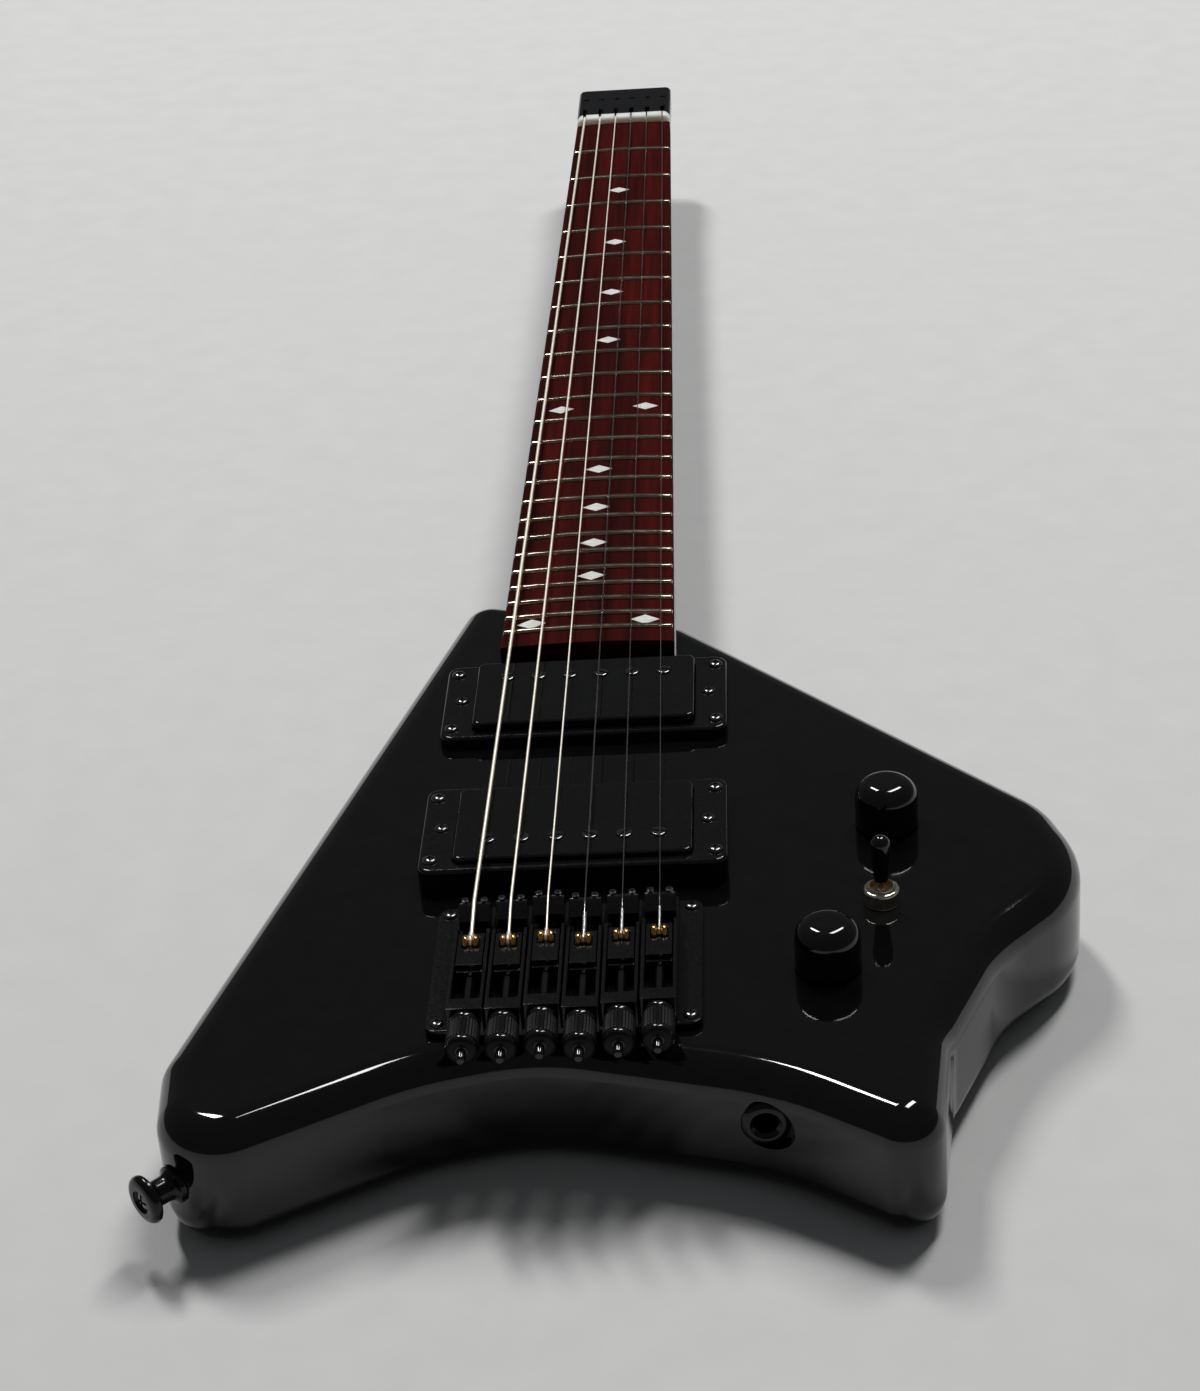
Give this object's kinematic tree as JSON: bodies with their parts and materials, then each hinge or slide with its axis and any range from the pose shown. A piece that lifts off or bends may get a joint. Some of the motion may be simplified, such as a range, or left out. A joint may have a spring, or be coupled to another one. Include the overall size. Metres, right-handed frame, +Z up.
{
  "type": "travel guitar",
  "caption": "Headless travel electric guitar with a small horned body, two covered pickups and a bridge that tunes each string by a knurled knob.",
  "frame": {"origin": "on the flat back, straight under the saddle line and midway between the third and fourth strings", "axes": "+X to the treble side, +Y along the strings towards the head, +Z up out of the top"},
  "size_m": [0.262, 0.7816, 0.062],
  "materials": {
    "black_lacquer": "solid black under clear gloss lacquer",
    "red_fretboard": "oiled deep red-brown hardwood, satin",
    "bone_nut": "polished bone white",
    "black_hardware": "satin black plating",
    "black_plastic": "moulded black, semi-gloss",
    "gloss_cover": "gloss black cover",
    "black_knob": "polished black",
    "coil_winding": "copper-coloured winding",
    "string_wire": "bright drawn and wound wire with a brass ball end",
    "nickel_trim": "nickel plate",
    "plain_steel": "plain zinc-plated steel"
  },
  "bodies": {
    "root": {"body": "black_lacquer", "neck": "black_lacquer", "truss_rod": "plain_steel", "fretboard": "red_fretboard", "nut": "bone_nut", "string_clamp": "black_hardware", "pickup_ring_neck": "black_plastic", "pickup_ring_bridge": "black_plastic", "pickup_cover_neck": "gloss_cover", "pickup_cover_bridge": "gloss_cover", "pickup_coils_neck": "coil_winding", "pickup_coils_bridge": "coil_winding", "bridge_plate": "black_hardware", "volume_pot": "plain_steel", "tone_pot": "plain_steel", "switch_body": "plain_steel", "switch_nut": "nickel_trim", "output_jack": "black_hardware", "strap_button_horn": "black_hardware", "strap_button_neck": "black_hardware", "rear_cover": "black_plastic", "neck_bolt_1": "black_hardware", "neck_bolt_2": "black_hardware", "neck_bolt_3": "black_hardware", "neck_bolt_4": "black_hardware", "string_block_1": "black_hardware", "string_block_2": "black_hardware", "string_block_3": "black_hardware", "string_block_4": "black_hardware", "string_block_5": "black_hardware", "string_block_6": "black_hardware", "saddle_1": "black_hardware", "saddle_2": "black_hardware", "saddle_3": "black_hardware", "saddle_4": "black_hardware", "saddle_5": "black_hardware", "saddle_6": "black_hardware"},
    "carriage_1": {"carriage_1": "black_hardware", "string_1": "string_wire"},
    "tuner_1": {"tuner_knob_1": "black_hardware"},
    "carriage_2": {"carriage_2": "black_hardware", "string_2": "string_wire"},
    "tuner_2": {"tuner_knob_2": "black_hardware"},
    "carriage_3": {"carriage_3": "black_hardware", "string_3": "string_wire"},
    "tuner_3": {"tuner_knob_3": "black_hardware"},
    "carriage_4": {"carriage_4": "black_hardware", "string_4": "string_wire"},
    "tuner_4": {"tuner_knob_4": "black_hardware"},
    "carriage_5": {"carriage_5": "black_hardware", "string_5": "string_wire"},
    "tuner_5": {"tuner_knob_5": "black_hardware"},
    "carriage_6": {"carriage_6": "black_hardware", "string_6": "string_wire"},
    "tuner_6": {"tuner_knob_6": "black_hardware"},
    "volume": {"volume_knob": "black_knob"},
    "tone": {"tone_knob": "black_knob"},
    "switch": {"switch_lever": "black_knob"}
  },
  "joints": [
    {"name": "tuner_1_turn", "type": "hinge", "parent": "root", "child": "tuner_1", "pos_m": [-0.026, -0.0495, 0.0466], "axis": [0, 1, 0], "range_deg": [-2520, 2520]},
    {"name": "carriage_1_slide", "type": "slide", "parent": "root", "child": "carriage_1", "axis": [0, 1, 0], "range_m": [-0.0049, 0.0049], "deforming": ["string_1"]},
    {"name": "tuner_2_turn", "type": "hinge", "parent": "root", "child": "tuner_2", "pos_m": [-0.0156, -0.0497, 0.0466], "axis": [0, 1, 0], "range_deg": [-2520, 2520]},
    {"name": "carriage_2_slide", "type": "slide", "parent": "root", "child": "carriage_2", "axis": [0, 1, 0], "range_m": [-0.0049, 0.0049], "deforming": ["string_2"]},
    {"name": "tuner_3_turn", "type": "hinge", "parent": "root", "child": "tuner_3", "pos_m": [-0.0052, -0.0485, 0.0466], "axis": [0, 1, 0], "range_deg": [-2520, 2520]},
    {"name": "carriage_3_slide", "type": "slide", "parent": "root", "child": "carriage_3", "axis": [0, 1, 0], "range_m": [-0.0049, 0.0049], "deforming": ["string_3"]},
    {"name": "tuner_4_turn", "type": "hinge", "parent": "root", "child": "tuner_4", "pos_m": [0.0052, -0.0503, 0.0466], "axis": [0, 1, 0], "range_deg": [-2520, 2520]},
    {"name": "carriage_4_slide", "type": "slide", "parent": "root", "child": "carriage_4", "axis": [0, 1, 0], "range_m": [-0.0049, 0.0049], "deforming": ["string_4"]},
    {"name": "tuner_5_turn", "type": "hinge", "parent": "root", "child": "tuner_5", "pos_m": [0.0156, -0.04901, 0.0466], "axis": [0, 1, 0], "range_deg": [-2520, 2520]},
    {"name": "carriage_5_slide", "type": "slide", "parent": "root", "child": "carriage_5", "axis": [0, 1, 0], "range_m": [-0.0049, 0.0049], "deforming": ["string_5"]},
    {"name": "tuner_6_turn", "type": "hinge", "parent": "root", "child": "tuner_6", "pos_m": [0.026, -0.0478, 0.0466], "axis": [0, 1, 0], "range_deg": [-2520, 2520]},
    {"name": "carriage_6_slide", "type": "slide", "parent": "root", "child": "carriage_6", "axis": [0, 1, 0], "range_m": [-0.0049, 0.0049], "deforming": ["string_6"]},
    {"name": "volume_turn", "type": "hinge", "parent": "root", "child": "volume", "pos_m": [0.0916, 0.05149, 0.04], "axis": [0, 0, 1], "range_deg": [-140, 140]},
    {"name": "tone_turn", "type": "hinge", "parent": "root", "child": "tone", "pos_m": [0.072, -0.02, 0.04], "axis": [0, 0, 1], "range_deg": [-140, 140]},
    {"name": "switch_throw", "type": "hinge", "parent": "root", "child": "switch", "pos_m": [0.0881, 0.0106, 0.036], "axis": [1, 0, 0], "range_deg": [-12, 12]}
  ],
  "couplings": [
    {"joint": "tuner_1_turn", "follows": "carriage_1_slide", "rad_per_m": -8976},
    {"joint": "tuner_2_turn", "follows": "carriage_2_slide", "rad_per_m": -8976},
    {"joint": "tuner_3_turn", "follows": "carriage_3_slide", "rad_per_m": -8976},
    {"joint": "tuner_4_turn", "follows": "carriage_4_slide", "rad_per_m": -8976},
    {"joint": "tuner_5_turn", "follows": "carriage_5_slide", "rad_per_m": -8976},
    {"joint": "tuner_6_turn", "follows": "carriage_6_slide", "rad_per_m": -8976}
  ]
}
